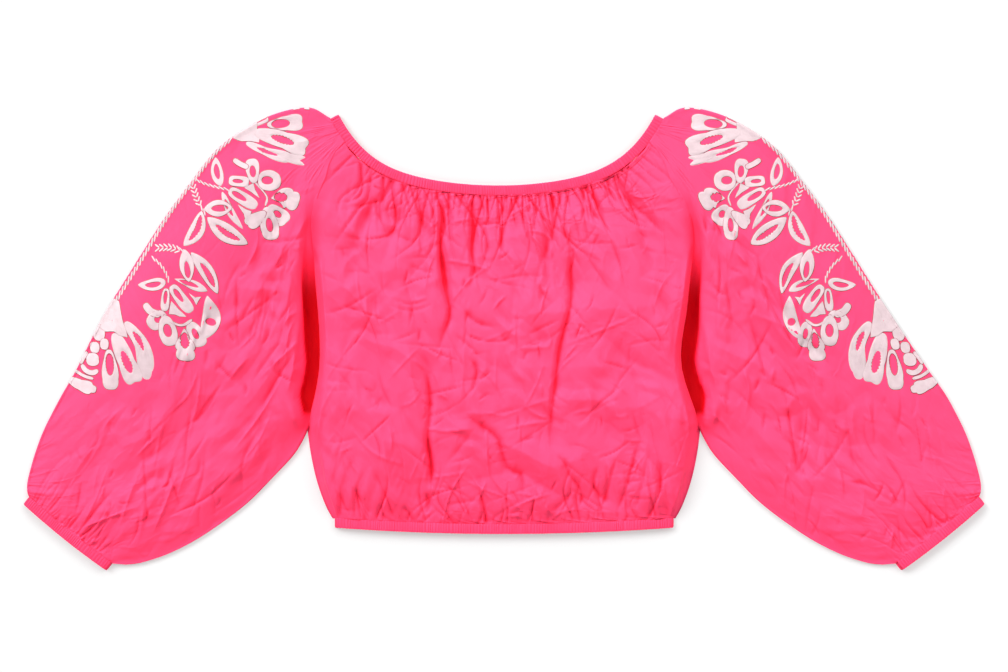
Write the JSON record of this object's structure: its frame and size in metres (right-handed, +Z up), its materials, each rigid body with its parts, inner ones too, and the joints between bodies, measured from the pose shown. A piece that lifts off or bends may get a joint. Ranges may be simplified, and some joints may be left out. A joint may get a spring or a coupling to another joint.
{
  "type": "cropped peasant blouse",
  "caption": "Cropped peasant blouse lying flat: raglan balloon sleeves with embroidered flowers, and gathered elastic casings at neck, hem and cuffs; worn as a light summer top.",
  "frame": {"origin": "middle of the garment's bounding box in plan, on the surface it lies on", "axes": "+X towards the wearer's left sleeve, +Y towards the neck, +Z up from the surface; the front faces +Z"},
  "size_m": [1.1578, 0.5568, 0.0333],
  "materials": {
    "viscose": "crumpled plain weave, hot pink, faint sheen",
    "elastic_casing": "gathered over elastic, finely ribbed",
    "embroidery_thread": "satin stitch, warm white"
  },
  "bodies": {
    "root": {"front_panel": "viscose", "back_panel": "viscose", "left_sleeve": "viscose", "right_sleeve": "viscose", "neck_casing": "elastic_casing", "hem_casing": "elastic_casing", "left_cuff_casing": "elastic_casing", "right_cuff_casing": "elastic_casing"}
  },
  "joints": []
}
